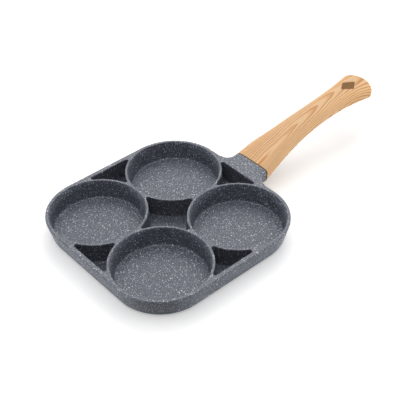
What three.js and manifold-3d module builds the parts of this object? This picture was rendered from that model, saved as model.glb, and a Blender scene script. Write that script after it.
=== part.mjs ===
// Four-cup egg pan: a one-piece cast body with four round cups, and a wood-look handle screwed to its lug.
// Millimetres and degrees. The flat base rests on z = 0 under the origin, and the handle points along +X.

import * as THREE from 'three';
import { mergeVertices } from 'three/addons/utils/BufferGeometryUtils.js';
import Module from 'manifold-3d';

const wasm = await Module();
wasm.setup();

// Cups
const CUP_RIM_RADIUS = 45.3;
const CUP_DEPTH = 19;
const CUP_DRAFT = 9;
const CUP_FLOOR_FILLET = 2;
const CUP_WEB = 1.8; // wall between two neighbouring cups, at the rim

// Outer wall and floor of the casting
const FLOOR_THICKNESS = 4.5;
const RIM_WIDTH_SIDE = 3.6; // from a cup to the outer edge, square to a side
const RIM_WIDTH_CORNER = 3; // the same, along the diagonal
const RIM_ROUND = 1; // outer edge of the rim
const EDGE_ROUND = 0.6; // edges of the cups and pockets at the rim
const OUTER_DRAFT = 13;
const BASE_ROUND = 8;

// Pockets: one star between the four cups, and one triangle at each side
const RING_WALL = 2; // wall of a cup where it faces a pocket, at the rim
const SIDE_WALL = 4.5; // outer wall beside a pocket, at the rim
const POCKET_DEPTH = 19;
const POCKET_DRAFT = 4;
const POCKET_FLOOR_FILLET = 0.6;
const POCKET_CORNER = 0.2; // tip radius at the pocket floor, which fillet and draft open towards the rim

// Shallow turned grooves in the flat base
const GROOVE_COUNT = 4;
const GROOVE_FIRST_RADIUS = 25;
const GROOVE_PITCH = 15;
const GROOVE_WIDTH = 1.6;
const GROOVE_DEPTH = 0.4;

// Lug of the casting, and the face where the handle meets it
const LUG_REACH = 12.7; // from the rim's outer edge to the joint face
const NECK_FILLET = 10;
const JOINT_HALF_WIDTH = 20.9;
const JOINT_CROWN = 4.2; // top of the joint face above the rim
const JOINT_BELLY = 15; // bottom of the joint face below the rim
const JOINT_TOP_POWER = 4.5;
const JOINT_BELLY_POWER = 3.2;

// Tang of the casting, which the handle slides over
const TANG_ANGLE = 20;
const TANG_DROP = 3.4; // tang axis below the rim, at the joint face
const TANG_LENGTH = 32;
const TANG_WIDTH = 20;
const TANG_THICKNESS = 6.5;
const TANG_CORNER = 1.5;
const TANG_ROOT = 7; // length of the tang that is buried in the lug
const SOCKET_GAP = 0.3;
const SOCKET_END_GAP = 1;

// Heat gasket between the lug and the handle
const GASKET_THICKNESS = 0.8;
const GASKET_INSET = 0.4;
const GASKET_GAP = 0.25;

// Screw and its two washers, which come in from below
const SCREW_SHARE = 0.44; // where it crosses the tang, as a share of the tang's length
const SCREW_RADIUS = 2.4;
const SCREW_GAP = 0.4;
const SCREW_TIP_INSET = 0.8;
const SCREW_HEAD_RADIUS = 4.2;
const SCREW_HEAD_HEIGHT = 2.4;
const SCREW_RECESS_LENGTH = 4.6;
const SCREW_RECESS_WIDTH = 1;
const SCREW_RECESS_DEPTH = 1.4;
const WASHER_RADIUS = 5;
const WASHER_THICKNESS = 0.8;
const LOCK_WASHER_RADIUS = 4.3;
const LOCK_WASHER_THICKNESS = 1;
const LOCK_WASHER_SPLIT = 0.9;
const LOCK_WASHER_SPLIT_ANGLE = 25;
const STACK_GAP = 0.25;
const COUNTERBORE_GAP = 0.6;
const LAND_THICKNESS = 1.8; // handle wall that the screw clamps against the tang

// Handle, from its joint face to the corners of its end
const HANDLE_LENGTH = 151;
const HANDLE_RISE = 24.4; // how far its widest line climbs from the joint to the end

// Its sections: where they stand along it, and their sizes as shares of the joint's half width, of the rise
// and of the joint's thickness
const HANDLE_SHARES = [
  { at: 0.12, width: 0.905, rise: 0.234, crown: 0.312, belly: 0.677, topPower: 4, bellyPower: 3 },
  { at: 0.26, width: 0.74, rise: 0.447, crown: 0.39, belly: 0.63, topPower: 3.4, bellyPower: 2.9 },
  { at: 0.43, width: 0.626, rise: 0.676, crown: 0.432, belly: 0.6, topPower: 3, bellyPower: 2.8 },
  { at: 0.6, width: 0.578, rise: 0.844, crown: 0.432, belly: 0.59, topPower: 2.8, bellyPower: 2.8 },
  { at: 0.79, width: 0.631, rise: 0.96, crown: 0.415, belly: 0.57, topPower: 2.8, bellyPower: 2.8 },
  { at: 0.94, width: 0.806, rise: 1, crown: 0.39, belly: 0.55, topPower: 2.8, bellyPower: 2.8 },
  { at: 1, width: 0.9, rise: 1, crown: 0.38, belly: 0.545, topPower: 2.8, bellyPower: 2.8 },
];
const END_CORNER = 6; // radius of the end's corners, seen from above
const END_CORNER_TURN = 56; // how far they turn before the bulged end takes over
const END_ROUND = 4; // round between the end and the top or the belly
const BULGE_LENGTH = 30; // length over which the sections bend to follow the end

// Diamond hanging hole
const HOLE_FROM_CORNERS = 14.1; // from the end's corners back to the hole's centre
const HOLE_HALF_LENGTH = 11;
const HOLE_HALF_WIDTH = 7.8;
const HOLE_CORNER = 1.2;

// Fineness of round stretches
const CUP_SEGMENTS = 44;
const CORNER_SEGMENTS = 12;
const ROUND_SEGMENTS = 5;
const SECTION_POINTS = 32;
const HANDLE_STEPS = 34;
const CUT_MARGIN = 3; // how far a cutter runs past the surface that it opens

// Sizes that follow from the driving dimensions
const RIM_HEIGHT = FLOOR_THICKNESS + CUP_DEPTH;
const CUP_CENTRE = CUP_RIM_RADIUS + CUP_WEB / 2;
const OUTER_HALF = CUP_CENTRE + CUP_RIM_RADIUS + RIM_WIDTH_SIDE;
const OUTER_DIAGONAL = CUP_CENTRE * Math.SQRT2 + CUP_RIM_RADIUS + RIM_WIDTH_CORNER;
const OUTER_CORNER = (OUTER_HALF * Math.SQRT2 - OUTER_DIAGONAL) / (Math.SQRT2 - 1);
const OUTER_CORNER_CENTRE = OUTER_HALF - OUTER_CORNER;
const RING_RADIUS = CUP_RIM_RADIUS + RING_WALL;
const POCKET_EDGE = OUTER_HALF - SIDE_WALL;
const POCKET_RIM_CORNER = POCKET_CORNER + POCKET_FLOOR_FILLET + POCKET_DEPTH * tangent(POCKET_DRAFT);
const LUG_FACE = OUTER_HALF + LUG_REACH;
const HANDLE_FACE = LUG_FACE + GASKET_THICKNESS + 2 * GASKET_GAP;
const HANDLE_CORNERS = HANDLE_FACE + HANDLE_LENGTH;
const JOINT_SECTION = {
  at: 0,
  halfWidth: JOINT_HALF_WIDTH,
  height: 0,
  crown: JOINT_CROWN,
  belly: JOINT_BELLY,
  topPower: JOINT_TOP_POWER,
  bellyPower: JOINT_BELLY_POWER,
};
const JOINT_THICKNESS = JOINT_CROWN + JOINT_BELLY;
const HANDLE_SECTIONS = [
  JOINT_SECTION,
  ...HANDLE_SHARES.map(({ at, width, rise, crown, belly, topPower, bellyPower }) => ({
    at,
    halfWidth: width * JOINT_HALF_WIDTH,
    height: rise * HANDLE_RISE,
    crown: crown * JOINT_THICKNESS,
    belly: belly * JOINT_THICKNESS,
    topPower,
    bellyPower,
  })),
];
const SCREW_ALONG = SCREW_SHARE * TANG_LENGTH; // from the joint face
const SEAT = -(TANG_THICKNESS / 2 + SOCKET_GAP + LAND_THICKNESS); // washers' seat, from the tang axis
const WASHER_TOP = SEAT - STACK_GAP;
const LOCK_WASHER_TOP = WASHER_TOP - WASHER_THICKNESS - STACK_GAP;
const HEAD_TOP = LOCK_WASHER_TOP - LOCK_WASHER_THICKNESS - STACK_GAP;
const SCREW_HOLE_RADIUS = SCREW_RADIUS + SCREW_GAP;

const coating = new THREE.MeshStandardMaterial({ color: 0x5b5e65, roughness: 0.55, metalness: 0.1 });
const woodLook = new THREE.MeshStandardMaterial({ color: 0xd9a873, roughness: 0.45, metalness: 0 });
const darkRubber = new THREE.MeshStandardMaterial({ color: 0x2a2522, roughness: 0.8, metalness: 0 });
const steel = new THREE.MeshStandardMaterial({ color: 0xb9bcc0, roughness: 0.35, metalness: 1 });

function tangent(degrees) {
  return Math.tan(THREE.MathUtils.degToRad(degrees));
}

function smooth(t) {
  return THREE.MathUtils.smoothstep(t, 0, 1);
}

// Turns a closed three.js geometry into a solid for joining and cutting.
function solidOf(geometry) {
  const bare = geometry.clone();
  bare.deleteAttribute('normal');
  bare.deleteAttribute('uv');
  const merged = mergeVertices(bare, 1e-4);
  const vertProperties = new Float32Array(merged.attributes.position.array);
  const triVerts = new Uint32Array(merged.index.array);
  return new wasm.Manifold(new wasm.Mesh({ numProp: 3, vertProperties, triVerts }));
}

// Turns a solid back into a three.js geometry.
function geometryOf(solid) {
  const mesh = solid.getMesh();
  const geometry = new THREE.BufferGeometry();
  geometry.setAttribute('position', new THREE.BufferAttribute(mesh.vertProperties, 3));
  geometry.setIndex(new THREE.BufferAttribute(mesh.triVerts, 1));
  return geometry;
}

// Skins a row of rings, each with the same number of points, which run anticlockwise seen from the last ring.
// Both ends are closed on their middles, unless the last ring is to be zipped: then each of its points is
// joined to the one that mirrors it.
function loft(rings, zipped = false) {
  const count = rings[0].length;
  const points = rings.flat();
  const triangles = [];
  for (let ring = 0; ring + 1 < rings.length; ring += 1) {
    for (let i = 0; i < count; i += 1) {
      const a = ring * count + i;
      const b = ring * count + ((i + 1) % count);
      triangles.push(a, b, b + count, a, b + count, a + count);
    }
  }
  triangles.push(...fan(0, count, points.length).reverse());
  points.push(middleOf(rings[0]));
  const last = (rings.length - 1) * count;
  if (zipped) {
    triangles.push(...zip(last, count));
  } else {
    triangles.push(...fan(last, count, points.length));
    points.push(middleOf(rings[rings.length - 1]));
  }
  const geometry = new THREE.BufferGeometry().setFromPoints(points);
  geometry.setIndex(triangles);
  return geometry;
}

function fan(first, count, middle) {
  const triangles = [];
  for (let i = 0; i < count; i += 1) {
    triangles.push(middle, first + i, first + ((i + 1) % count));
  }
  return triangles;
}

function zip(first, count) {
  const triangles = [];
  for (let i = 0; i + 1 < count / 2; i += 1) {
    triangles.push(first + i, first + i + 1, first + count - i - 1);
    triangles.push(first + i + 1, first + count - i - 2, first + count - i - 1);
  }
  return triangles;
}

function middleOf(points) {
  const sum = points.reduce((total, point) => total.add(point), new THREE.Vector3());
  return sum.divideScalar(points.length);
}

// Points of an arc in the plane, both ends included.
function arc(centreX, centreY, radius, startAngle, endAngle, segments) {
  const points = [];
  for (let i = 0; i <= segments; i += 1) {
    const angle = THREE.MathUtils.degToRad(startAngle + ((endAngle - startAngle) * i) / segments);
    points.push(new THREE.Vector2(centreX + radius * Math.cos(angle), centreY + radius * Math.sin(angle)));
  }
  return points;
}

// A solid of revolution about the Z axis. Its profile of (radius, height) points runs upwards outside.
function revolve(profile, segments) {
  return new THREE.LatheGeometry(profile, segments).rotateX(Math.PI / 2);
}

// The rounded square of the pan seen from above, moved outwards by an offset.
function outline(offset, height) {
  const c = OUTER_CORNER_CENTRE;
  const corners = [[c, c], [-c, c], [-c, -c], [c, -c]];
  return corners.flatMap(([x, y], i) =>
    arc(x, y, OUTER_CORNER + offset, 90 * i, 90 * i + 90, CORNER_SEGMENTS).map(
      (point) => new THREE.Vector3(point.x, point.y, height),
    ),
  );
}

// Outer form of the casting: a rounded rim edge, a wall that leans in, and a large round into the flat base.
function outerForm() {
  const draft = THREE.MathUtils.degToRad(OUTER_DRAFT);
  const wall = RIM_ROUND - Math.cos(draft) * RIM_ROUND - Math.sin(draft) * (RIM_HEIGHT - RIM_ROUND);
  const baseCentre = (wall - BASE_ROUND + BASE_ROUND * Math.sin(draft)) / Math.cos(draft);
  const base = arc(baseCentre, BASE_ROUND, BASE_ROUND, -90, -OUTER_DRAFT, ROUND_SEGMENTS);
  const edgeHeight = RIM_HEIGHT - RIM_ROUND;
  const lowerEdge = arc(-RIM_ROUND, edgeHeight, RIM_ROUND, -OUTER_DRAFT, 0, 1);
  const upperEdge = arc(-RIM_ROUND, edgeHeight, RIM_ROUND, 0, 90, 3).slice(1);
  return loft([...base, ...lowerEdge, ...upperEdge].map((point) => outline(point.x, point.y)));
}

// Cutter for one cup: flat floor, floor fillet, drafted wall and a rounded edge at the rim.
function cupCutter() {
  const draft = THREE.MathUtils.degToRad(CUP_DRAFT);
  const wallAtFilletHeight = CUP_RIM_RADIUS - (CUP_DEPTH - CUP_FLOOR_FILLET) * Math.tan(draft);
  const filletCentre = wallAtFilletHeight - CUP_FLOOR_FILLET / Math.cos(draft);
  const filletHeight = FLOOR_THICKNESS + CUP_FLOOR_FILLET;
  const edgeHeight = RIM_HEIGHT - EDGE_ROUND;
  const edgeCentre = CUP_RIM_RADIUS - EDGE_ROUND * Math.tan(draft) + EDGE_ROUND / Math.cos(draft);
  const profile = [
    new THREE.Vector2(0, FLOOR_THICKNESS),
    ...arc(filletCentre, filletHeight, CUP_FLOOR_FILLET, -90, -CUP_DRAFT, ROUND_SEGMENTS),
    ...arc(edgeCentre, edgeHeight, EDGE_ROUND, 180 - CUP_DRAFT, 90, 2),
    new THREE.Vector2(edgeCentre, RIM_HEIGHT + CUT_MARGIN),
    new THREE.Vector2(0, RIM_HEIGHT + CUT_MARGIN),
  ];
  return revolve(profile, CUP_SEGMENTS);
}

// One round tip of a pocket: the small arc between two neighbouring stretches of the pocket's edge.
function tip(centreX, centreY, radius, fromAngle, toAngle) {
  return arc(centreX, centreY, radius, fromAngle, toAngle, 2);
}

// Angle in degrees of the direction from one point to another.
function heading(fromX, fromY, toX, toY) {
  return THREE.MathUtils.radToDeg(Math.atan2(toY - fromY, toX - fromX));
}

// Arc of a cup's outer ring, between the two pocket tips that touch it.
function ringArc(cupX, cupY, ringRadius, firstTip, secondTip) {
  const start = heading(cupX, cupY, firstTip.x, firstTip.y);
  const sweep = heading(cupX, cupY, secondTip.x, secondTip.y) - start;
  const turn = sweep - 360 * Math.round(sweep / 360);
  return arc(cupX, cupY, ringRadius, start, start + turn, ROUND_SEGMENTS + 3).slice(1, -1);
}

// Distance from the middle of a web to the centre of the tip circle that touches both of its cups.
function tipFromWeb() {
  const reach = RING_RADIUS + POCKET_RIM_CORNER;
  return Math.sqrt(reach * reach - CUP_CENTRE * CUP_CENTRE);
}

// Edge of the star pocket, drawn in from its rim edge by an inset.
function starEdge(inset) {
  const tips = [0, 1, 2, 3].map((i) => {
    const angle = (Math.PI / 2) * i;
    const distance = CUP_CENTRE - tipFromWeb();
    return new THREE.Vector2(Math.cos(angle) * distance, Math.sin(angle) * distance);
  });
  return tips.flatMap((centre, i) => {
    const next = tips[(i + 1) % 4];
    const angle = 90 * i;
    const cupX = i === 0 || i === 3 ? CUP_CENTRE : -CUP_CENTRE;
    const cupY = i < 2 ? CUP_CENTRE : -CUP_CENTRE;
    const towards = heading(centre.x, centre.y, cupX, cupY);
    const half = Math.abs(towards - angle - 360 * Math.round((towards - angle) / 360));
    return [
      ...tip(centre.x, centre.y, POCKET_RIM_CORNER - inset, angle - half, angle + half),
      ...ringArc(cupX, cupY, RING_RADIUS + inset, centre, next),
    ];
  });
}

// Edge of the triangular pocket at the handle side, drawn in from its rim edge by an inset.
function triangleEdge(inset) {
  const reach = RING_RADIUS + POCKET_RIM_CORNER;
  const innerTip = new THREE.Vector2(CUP_CENTRE + tipFromWeb(), 0);
  const outerX = POCKET_EDGE - POCKET_RIM_CORNER;
  const outerY = CUP_CENTRE - Math.sqrt(reach * reach - (outerX - CUP_CENTRE) ** 2);
  const upperTip = new THREE.Vector2(outerX, outerY);
  const lowerTip = new THREE.Vector2(outerX, -outerY);
  const radius = POCKET_RIM_CORNER - inset;
  const towardsCup = heading(outerX, outerY, CUP_CENTRE, CUP_CENTRE);
  const innerHalf = 180 - heading(innerTip.x, 0, CUP_CENTRE, CUP_CENTRE);
  return [
    ...tip(upperTip.x, upperTip.y, radius, 0, towardsCup),
    ...ringArc(CUP_CENTRE, CUP_CENTRE, RING_RADIUS + inset, upperTip, innerTip),
    ...tip(innerTip.x, innerTip.y, radius, 180 - innerHalf, 180 + innerHalf),
    ...ringArc(CUP_CENTRE, -CUP_CENTRE, RING_RADIUS + inset, innerTip, lowerTip),
    ...tip(lowerTip.x, lowerTip.y, radius, -towardsCup, 0),
  ];
}

// Cutter for a pocket: floor fillet, drafted wall and a rounded edge at the rim.
function pocketCutter(edge) {
  const draft = THREE.MathUtils.degToRad(POCKET_DRAFT);
  const filletHeight = RIM_HEIGHT - POCKET_DEPTH + POCKET_FLOOR_FILLET;
  const wallAtFilletHeight = (filletHeight - RIM_HEIGHT) * Math.tan(draft);
  const filletCentre = wallAtFilletHeight - POCKET_FLOOR_FILLET / Math.cos(draft);
  const edgeCentre = EDGE_ROUND / Math.cos(draft) - EDGE_ROUND * Math.tan(draft);
  const profile = [
    ...arc(filletCentre, filletHeight, POCKET_FLOOR_FILLET, -90, -POCKET_DRAFT, 2),
    ...arc(edgeCentre, RIM_HEIGHT - EDGE_ROUND, EDGE_ROUND, 180 - POCKET_DRAFT, 90, 2),
    new THREE.Vector2(edgeCentre, RIM_HEIGHT + CUT_MARGIN),
  ];
  return loft(
    profile.map((level) => edge(-level.x).map((point) => new THREE.Vector3(point.x, point.y, level.y))),
  );
}

// Cutter for one turned groove in the base.
function grooveCutter(radius) {
  const half = GROOVE_WIDTH / 2;
  const profile = [
    new THREE.Vector2(radius - half, -CUT_MARGIN),
    new THREE.Vector2(radius + half, -CUT_MARGIN),
    new THREE.Vector2(radius + half, 0),
    new THREE.Vector2(radius, GROOVE_DEPTH),
    new THREE.Vector2(radius - half, 0),
    new THREE.Vector2(radius - half, -CUT_MARGIN),
  ];
  return revolve(profile, CUP_SEGMENTS);
}

// A flat-topped section with a rounder belly, as points across and above its widest line.
function sectionPoints(section) {
  const points = [];
  for (let i = 0; i < SECTION_POINTS; i += 1) {
    const angle = (2 * Math.PI * i) / SECTION_POINTS;
    const upper = Math.sin(angle) >= 0;
    const power = 2 / (upper ? section.topPower : section.bellyPower);
    const reach = upper ? section.crown : section.belly;
    const across = section.halfWidth * Math.sign(Math.cos(angle)) * Math.abs(Math.cos(angle)) ** power;
    const above = reach * Math.sign(Math.sin(angle)) * Math.abs(Math.sin(angle)) ** power;
    points.push(new THREE.Vector2(across, section.height + above));
  }
  return points;
}

// Ring of a section that stands square to the X axis, with a shift along X given for each point.
function sectionRing(section, shift) {
  return sectionPoints(section).map(
    (point) => new THREE.Vector3(shift(point.x, point.y), point.x, RIM_HEIGHT + point.y),
  );
}

// Lug: its sides flare in plan into the pan's wall, and its top ramps up from the pocket's edge.
function lugForm() {
  const start = { x: OUTER_HALF - SIDE_WALL / 2, halfWidth: JOINT_HALF_WIDTH + NECK_FILLET };
  const flare = arc(OUTER_HALF + NECK_FILLET, start.halfWidth, NECK_FILLET, 180, 270, ROUND_SEGMENTS);
  const stations = [start, ...flare.map((point) => ({ x: point.x, halfWidth: point.y }))];
  stations.push({ x: LUG_FACE, halfWidth: JOINT_HALF_WIDTH });
  return loft(
    stations.map(({ x, halfWidth }) => {
      const crown = (JOINT_CROWN * (x - POCKET_EDGE)) / (LUG_FACE - POCKET_EDGE);
      const lean = (tangent(OUTER_DRAFT) * (LUG_FACE - x)) / (LUG_FACE - start.x);
      const section = { ...JOINT_SECTION, halfWidth, crown };
      return sectionRing(section, (across, above) => x + lean * Math.min(above, 0));
    }),
  );
}

// Bar with round corners along the tang's axis, grown all round by a gap.
function tangBar(from, to, gap) {
  const halfWidth = TANG_WIDTH / 2 + gap;
  const halfThickness = TANG_THICKNESS / 2 + gap;
  const radius = TANG_CORNER + gap;
  const shape = new THREE.Shape();
  shape.absarc(halfWidth - radius, halfThickness - radius, radius, 0, Math.PI / 2);
  shape.absarc(radius - halfWidth, halfThickness - radius, radius, Math.PI / 2, Math.PI);
  shape.absarc(radius - halfWidth, radius - halfThickness, radius, Math.PI, 1.5 * Math.PI);
  shape.absarc(halfWidth - radius, radius - halfThickness, radius, 1.5 * Math.PI, 2 * Math.PI);
  const bar = new THREE.ExtrudeGeometry(shape, { depth: to - from, bevelEnabled: false, curveSegments: 3 });
  return bar.rotateX(Math.PI / 2).rotateZ(Math.PI / 2).translate(from, 0, 0);
}

// Round bar square to the tang, where the screw runs.
function screwBar(radius, from, to) {
  const bar = new THREE.CylinderGeometry(radius, radius, to - from, CUP_SEGMENTS / 2);
  return bar.rotateX(Math.PI / 2).translate(SCREW_ALONG, 0, (from + to) / 2);
}

// Group whose X axis is the tang's axis, from the joint face.
function tangFrame() {
  const frame = new THREE.Group();
  frame.position.set(LUG_FACE, 0, RIM_HEIGHT - TANG_DROP);
  frame.rotation.y = -THREE.MathUtils.degToRad(TANG_ANGLE);
  frame.updateMatrix();
  return frame;
}

function inTangFrame(geometry) {
  return geometry.applyMatrix4(tangFrame().matrix);
}

function panBody() {
  let body = solidOf(outerForm()).add(solidOf(lugForm()));
  body = body.add(solidOf(inTangFrame(tangBar(-TANG_ROOT, TANG_LENGTH, 0))));
  for (const x of [-CUP_CENTRE, CUP_CENTRE]) {
    for (const y of [-CUP_CENTRE, CUP_CENTRE]) {
      body = body.subtract(solidOf(cupCutter().translate(x, y, 0)));
    }
  }
  body = body.subtract(solidOf(pocketCutter(starEdge)));
  for (let side = 0; side < 4; side += 1) {
    body = body.subtract(solidOf(pocketCutter(triangleEdge).rotateZ((Math.PI / 2) * side)));
  }
  for (let groove = 0; groove < GROOVE_COUNT; groove += 1) {
    body = body.subtract(solidOf(grooveCutter(GROOVE_FIRST_RADIUS + GROOVE_PITCH * groove)));
  }
  const screwHole = screwBar(SCREW_HOLE_RADIUS, -TANG_THICKNESS, TANG_THICKNESS);
  return geometryOf(body.subtract(solidOf(inTangFrame(screwHole))));
}

function neckGasket() {
  const section = shrink(JOINT_SECTION, GASKET_INSET, GASKET_INSET);
  const back = LUG_FACE + GASKET_GAP;
  const plate = loft([back, back + GASKET_THICKNESS].map((x) => sectionRing(section, () => x)));
  const window = inTangFrame(tangBar(-TANG_ROOT, TANG_LENGTH, SOCKET_GAP));
  return geometryOf(solidOf(plate).subtract(solidOf(window)));
}

// Value of one size of the handle's sections at a fraction of its length, on a smooth curve through them.
function handleSize(name, fraction) {
  const next = Math.max(1, HANDLE_SECTIONS.findIndex((section) => section.at >= fraction));
  const slope = (i) => {
    const before = HANDLE_SECTIONS[Math.max(i - 1, 0)];
    const after = HANDLE_SECTIONS[Math.min(i + 1, HANDLE_SECTIONS.length - 1)];
    return (after[name] - before[name]) / (after.at - before.at);
  };
  const from = HANDLE_SECTIONS[next - 1];
  const to = HANDLE_SECTIONS[next];
  const span = to.at - from.at;
  const t = (fraction - from.at) / span;
  const blend = t * t * (3 - 2 * t);
  const leave = t * (1 - t) * (1 - t) * span * slope(next - 1);
  const arrive = t * t * (1 - t) * span * slope(next);
  return from[name] + (to[name] - from[name]) * blend + leave - arrive;
}

function handleSection(fraction) {
  const names = ['halfWidth', 'height', 'crown', 'belly', 'topPower', 'bellyPower'];
  return Object.fromEntries(names.map((name) => [name, handleSize(name, fraction)]));
}

// How far the middle of the handle's end stands out past its corners, so that they run smoothly into it.
function endBulge(section) {
  const turn = THREE.MathUtils.degToRad(END_CORNER_TURN);
  const faceHalfWidth = section.halfWidth - END_CORNER * (1 - Math.cos(turn));
  return END_CORNER * Math.sin(turn) + faceHalfWidth / (2 * Math.tan(turn)) - END_ROUND;
}

// Ring of the handle that is bent in plan: its sides and its middle stand at different places along X.
function bentRing(section, sides, middle) {
  return sectionRing(section, (across) => middle + (sides - middle) * (across / section.halfWidth) ** 2);
}

// Handle's outer form: sections that bend in plan towards the bulged end, then the end's rounded edge.
function handleForm() {
  const last = handleSection(1);
  const bulge = endBulge(last);
  const rings = [];
  for (let step = 0; step <= HANDLE_STEPS; step += 1) {
    const along = (HANDLE_LENGTH * step) / HANDLE_STEPS;
    const bend = bulge * smooth(1 - (HANDLE_LENGTH - along) / BULGE_LENGTH);
    const x = HANDLE_FACE + along;
    rings.push(bentRing(handleSection(along / HANDLE_LENGTH), x, x + bend));
  }
  const sides = arc(0, 0, END_CORNER, 0, END_CORNER_TURN, ROUND_SEGMENTS);
  const edge = arc(0, 0, END_ROUND, 0, 90, ROUND_SEGMENTS);
  for (let step = 1; step <= ROUND_SEGMENTS; step += 1) {
    const section = shrink(last, END_CORNER - sides[step].x, END_ROUND - edge[step].x);
    const middle = HANDLE_CORNERS + bulge + edge[step].y;
    rings.push(bentRing(section, HANDLE_CORNERS + sides[step].y, middle));
  }
  return loft(rings, true);
}

// A section drawn in by one inset at its sides and by another at its top and bottom.
function shrink(section, sideInset, heightInset) {
  return {
    ...section,
    halfWidth: section.halfWidth - sideInset,
    crown: section.crown - heightInset,
    belly: section.belly - heightInset,
  };
}

// Cutter for the diamond hanging hole, with its corners slightly rounded.
function holeCutter() {
  const points = [
    new THREE.Vector2(HOLE_HALF_LENGTH, 0),
    new THREE.Vector2(0, HOLE_HALF_WIDTH),
    new THREE.Vector2(-HOLE_HALF_LENGTH, 0),
    new THREE.Vector2(0, -HOLE_HALF_WIDTH),
  ];
  const shape = new THREE.Shape();
  points.forEach((corner, i) => {
    const before = points[(i + 3) % 4];
    const after = points[(i + 1) % 4];
    const enter = corner.clone().add(before.clone().sub(corner).setLength(HOLE_CORNER));
    const leave = corner.clone().add(after.clone().sub(corner).setLength(HOLE_CORNER));
    if (i === 0) shape.moveTo(enter.x, enter.y);
    else shape.lineTo(enter.x, enter.y);
    shape.quadraticCurveTo(corner.x, corner.y, leave.x, leave.y);
  });
  const depth = 2 * RIM_HEIGHT + HANDLE_LENGTH;
  const cutter = new THREE.ExtrudeGeometry(shape, { depth, bevelEnabled: false, curveSegments: 3 });
  return cutter.translate(HANDLE_CORNERS - HOLE_FROM_CORNERS, 0, RIM_HEIGHT - depth / 2);
}

function handle() {
  const socket = tangBar(-TANG_ROOT, TANG_LENGTH + SOCKET_END_GAP, SOCKET_GAP);
  const screwHole = screwBar(SCREW_HOLE_RADIUS, SEAT - CUT_MARGIN, 0);
  const counterbore = screwBar(WASHER_RADIUS + COUNTERBORE_GAP, SEAT - RIM_HEIGHT, SEAT);
  let body = solidOf(handleForm());
  for (const cutter of [socket, screwHole, counterbore]) {
    body = body.subtract(solidOf(inTangFrame(cutter)));
  }
  return geometryOf(body.subtract(solidOf(holeCutter())));
}

// Screw from below: low round head with a cross recess, plain shank and a short point.
function handleScrew() {
  const tipHeight = TANG_THICKNESS / 2 - SCREW_TIP_INSET;
  const profile = [
    new THREE.Vector2(0, HEAD_TOP - SCREW_HEAD_HEIGHT),
    new THREE.Vector2(SCREW_HEAD_RADIUS * 0.55, HEAD_TOP - SCREW_HEAD_HEIGHT * 0.95),
    new THREE.Vector2(SCREW_HEAD_RADIUS * 0.88, HEAD_TOP - SCREW_HEAD_HEIGHT * 0.7),
    new THREE.Vector2(SCREW_HEAD_RADIUS, HEAD_TOP - SCREW_HEAD_HEIGHT * 0.3),
    new THREE.Vector2(SCREW_HEAD_RADIUS, HEAD_TOP),
    new THREE.Vector2(SCREW_RADIUS, HEAD_TOP),
    new THREE.Vector2(SCREW_RADIUS, tipHeight - SCREW_RADIUS / 2),
    new THREE.Vector2(SCREW_RADIUS / 2, tipHeight),
    new THREE.Vector2(0, tipHeight),
  ];
  let screw = solidOf(revolve(profile, CUP_SEGMENTS / 2));
  for (const turn of [0, Math.PI / 2]) {
    const slot = new THREE.BoxGeometry(SCREW_RECESS_LENGTH, SCREW_RECESS_WIDTH, 2 * SCREW_RECESS_DEPTH);
    slot.rotateZ(turn).translate(0, 0, HEAD_TOP - SCREW_HEAD_HEIGHT);
    screw = screw.subtract(solidOf(slot));
  }
  return geometryOf(screw).translate(SCREW_ALONG, 0, 0);
}

// Flat ring round the screw, hanging below a height.
function washerRing(radius, top, thickness) {
  const hole = SCREW_HOLE_RADIUS;
  const profile = [
    new THREE.Vector2(hole, top - thickness),
    new THREE.Vector2(radius, top - thickness),
    new THREE.Vector2(radius, top),
    new THREE.Vector2(hole, top),
    new THREE.Vector2(hole, top - thickness),
  ];
  return revolve(profile, CUP_SEGMENTS / 2);
}

function flatWasher() {
  return washerRing(WASHER_RADIUS, WASHER_TOP, WASHER_THICKNESS).translate(SCREW_ALONG, 0, 0);
}

// Spring washer: a flat ring split by a slanting cut.
function lockWasher() {
  const ring = washerRing(LOCK_WASHER_RADIUS, LOCK_WASHER_TOP, LOCK_WASHER_THICKNESS);
  const split = new THREE.BoxGeometry(2 * LOCK_WASHER_RADIUS, LOCK_WASHER_SPLIT, 4 * LOCK_WASHER_THICKNESS);
  split.rotateX(THREE.MathUtils.degToRad(LOCK_WASHER_SPLIT_ANGLE));
  split.translate(LOCK_WASHER_RADIUS, 0, LOCK_WASHER_TOP - LOCK_WASHER_THICKNESS / 2);
  return geometryOf(solidOf(ring).subtract(solidOf(split))).translate(SCREW_ALONG, 0, 0);
}

function piece(name, geometry, material) {
  const mesh = new THREE.Mesh(geometry, material);
  mesh.name = name;
  return mesh;
}

const fasteners = tangFrame();
fasteners.add(piece('handle_screw', handleScrew(), steel));
fasteners.add(piece('lock_washer', lockWasher(), steel));
fasteners.add(piece('flat_washer', flatWasher(), steel));

const pan = new THREE.Group();
pan.add(piece('pan_body', panBody(), coating));
pan.add(piece('neck_gasket', neckGasket(), darkRubber));
pan.add(piece('handle', handle(), woodLook));
pan.add(fasteners);

export default pan;
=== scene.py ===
"""Four-cup egg pan: smooth meshes, procedural finishes, camera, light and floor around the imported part."""

import math

import bpy
import numpy as np
from mathutils import Matrix, Vector


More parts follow.
